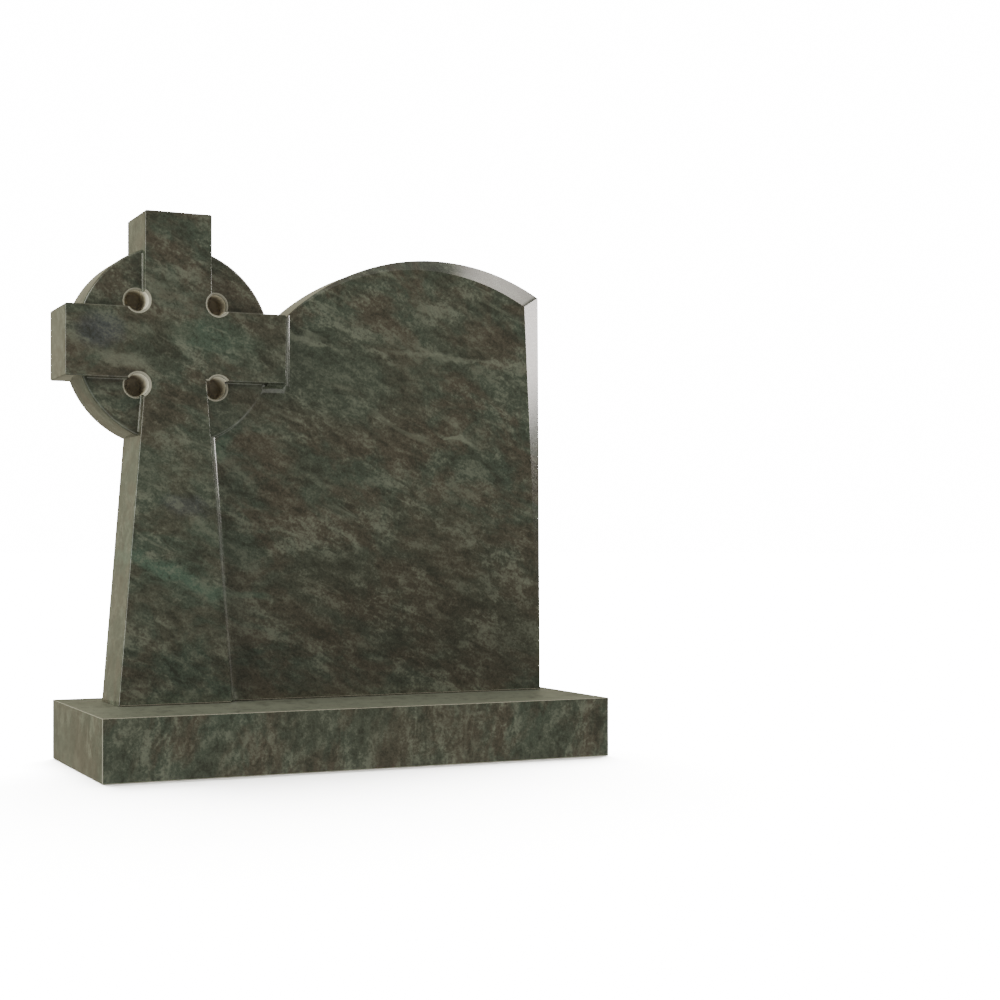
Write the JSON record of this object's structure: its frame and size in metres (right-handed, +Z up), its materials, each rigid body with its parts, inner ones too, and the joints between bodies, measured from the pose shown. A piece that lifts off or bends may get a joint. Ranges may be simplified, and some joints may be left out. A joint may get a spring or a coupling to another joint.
{
  "type": "celtic cross headstone",
  "caption": "Polished granite headstone with a ringed cross and an arched tablet carved side by side from one slab, standing on a base slab.",
  "frame": {"origin": "middle of the base slab's underside", "axes": "+X to the right along the front, +Y from the carved front to the plain back, +Z up"},
  "size_m": [0.936, 0.39, 0.9563],
  "materials": {
    "polished_headstone": "polished",
    "polished_base": "polished"
  },
  "bodies": {
    "root": {"headstone": "polished_headstone", "base": "polished_base"}
  },
  "joints": []
}
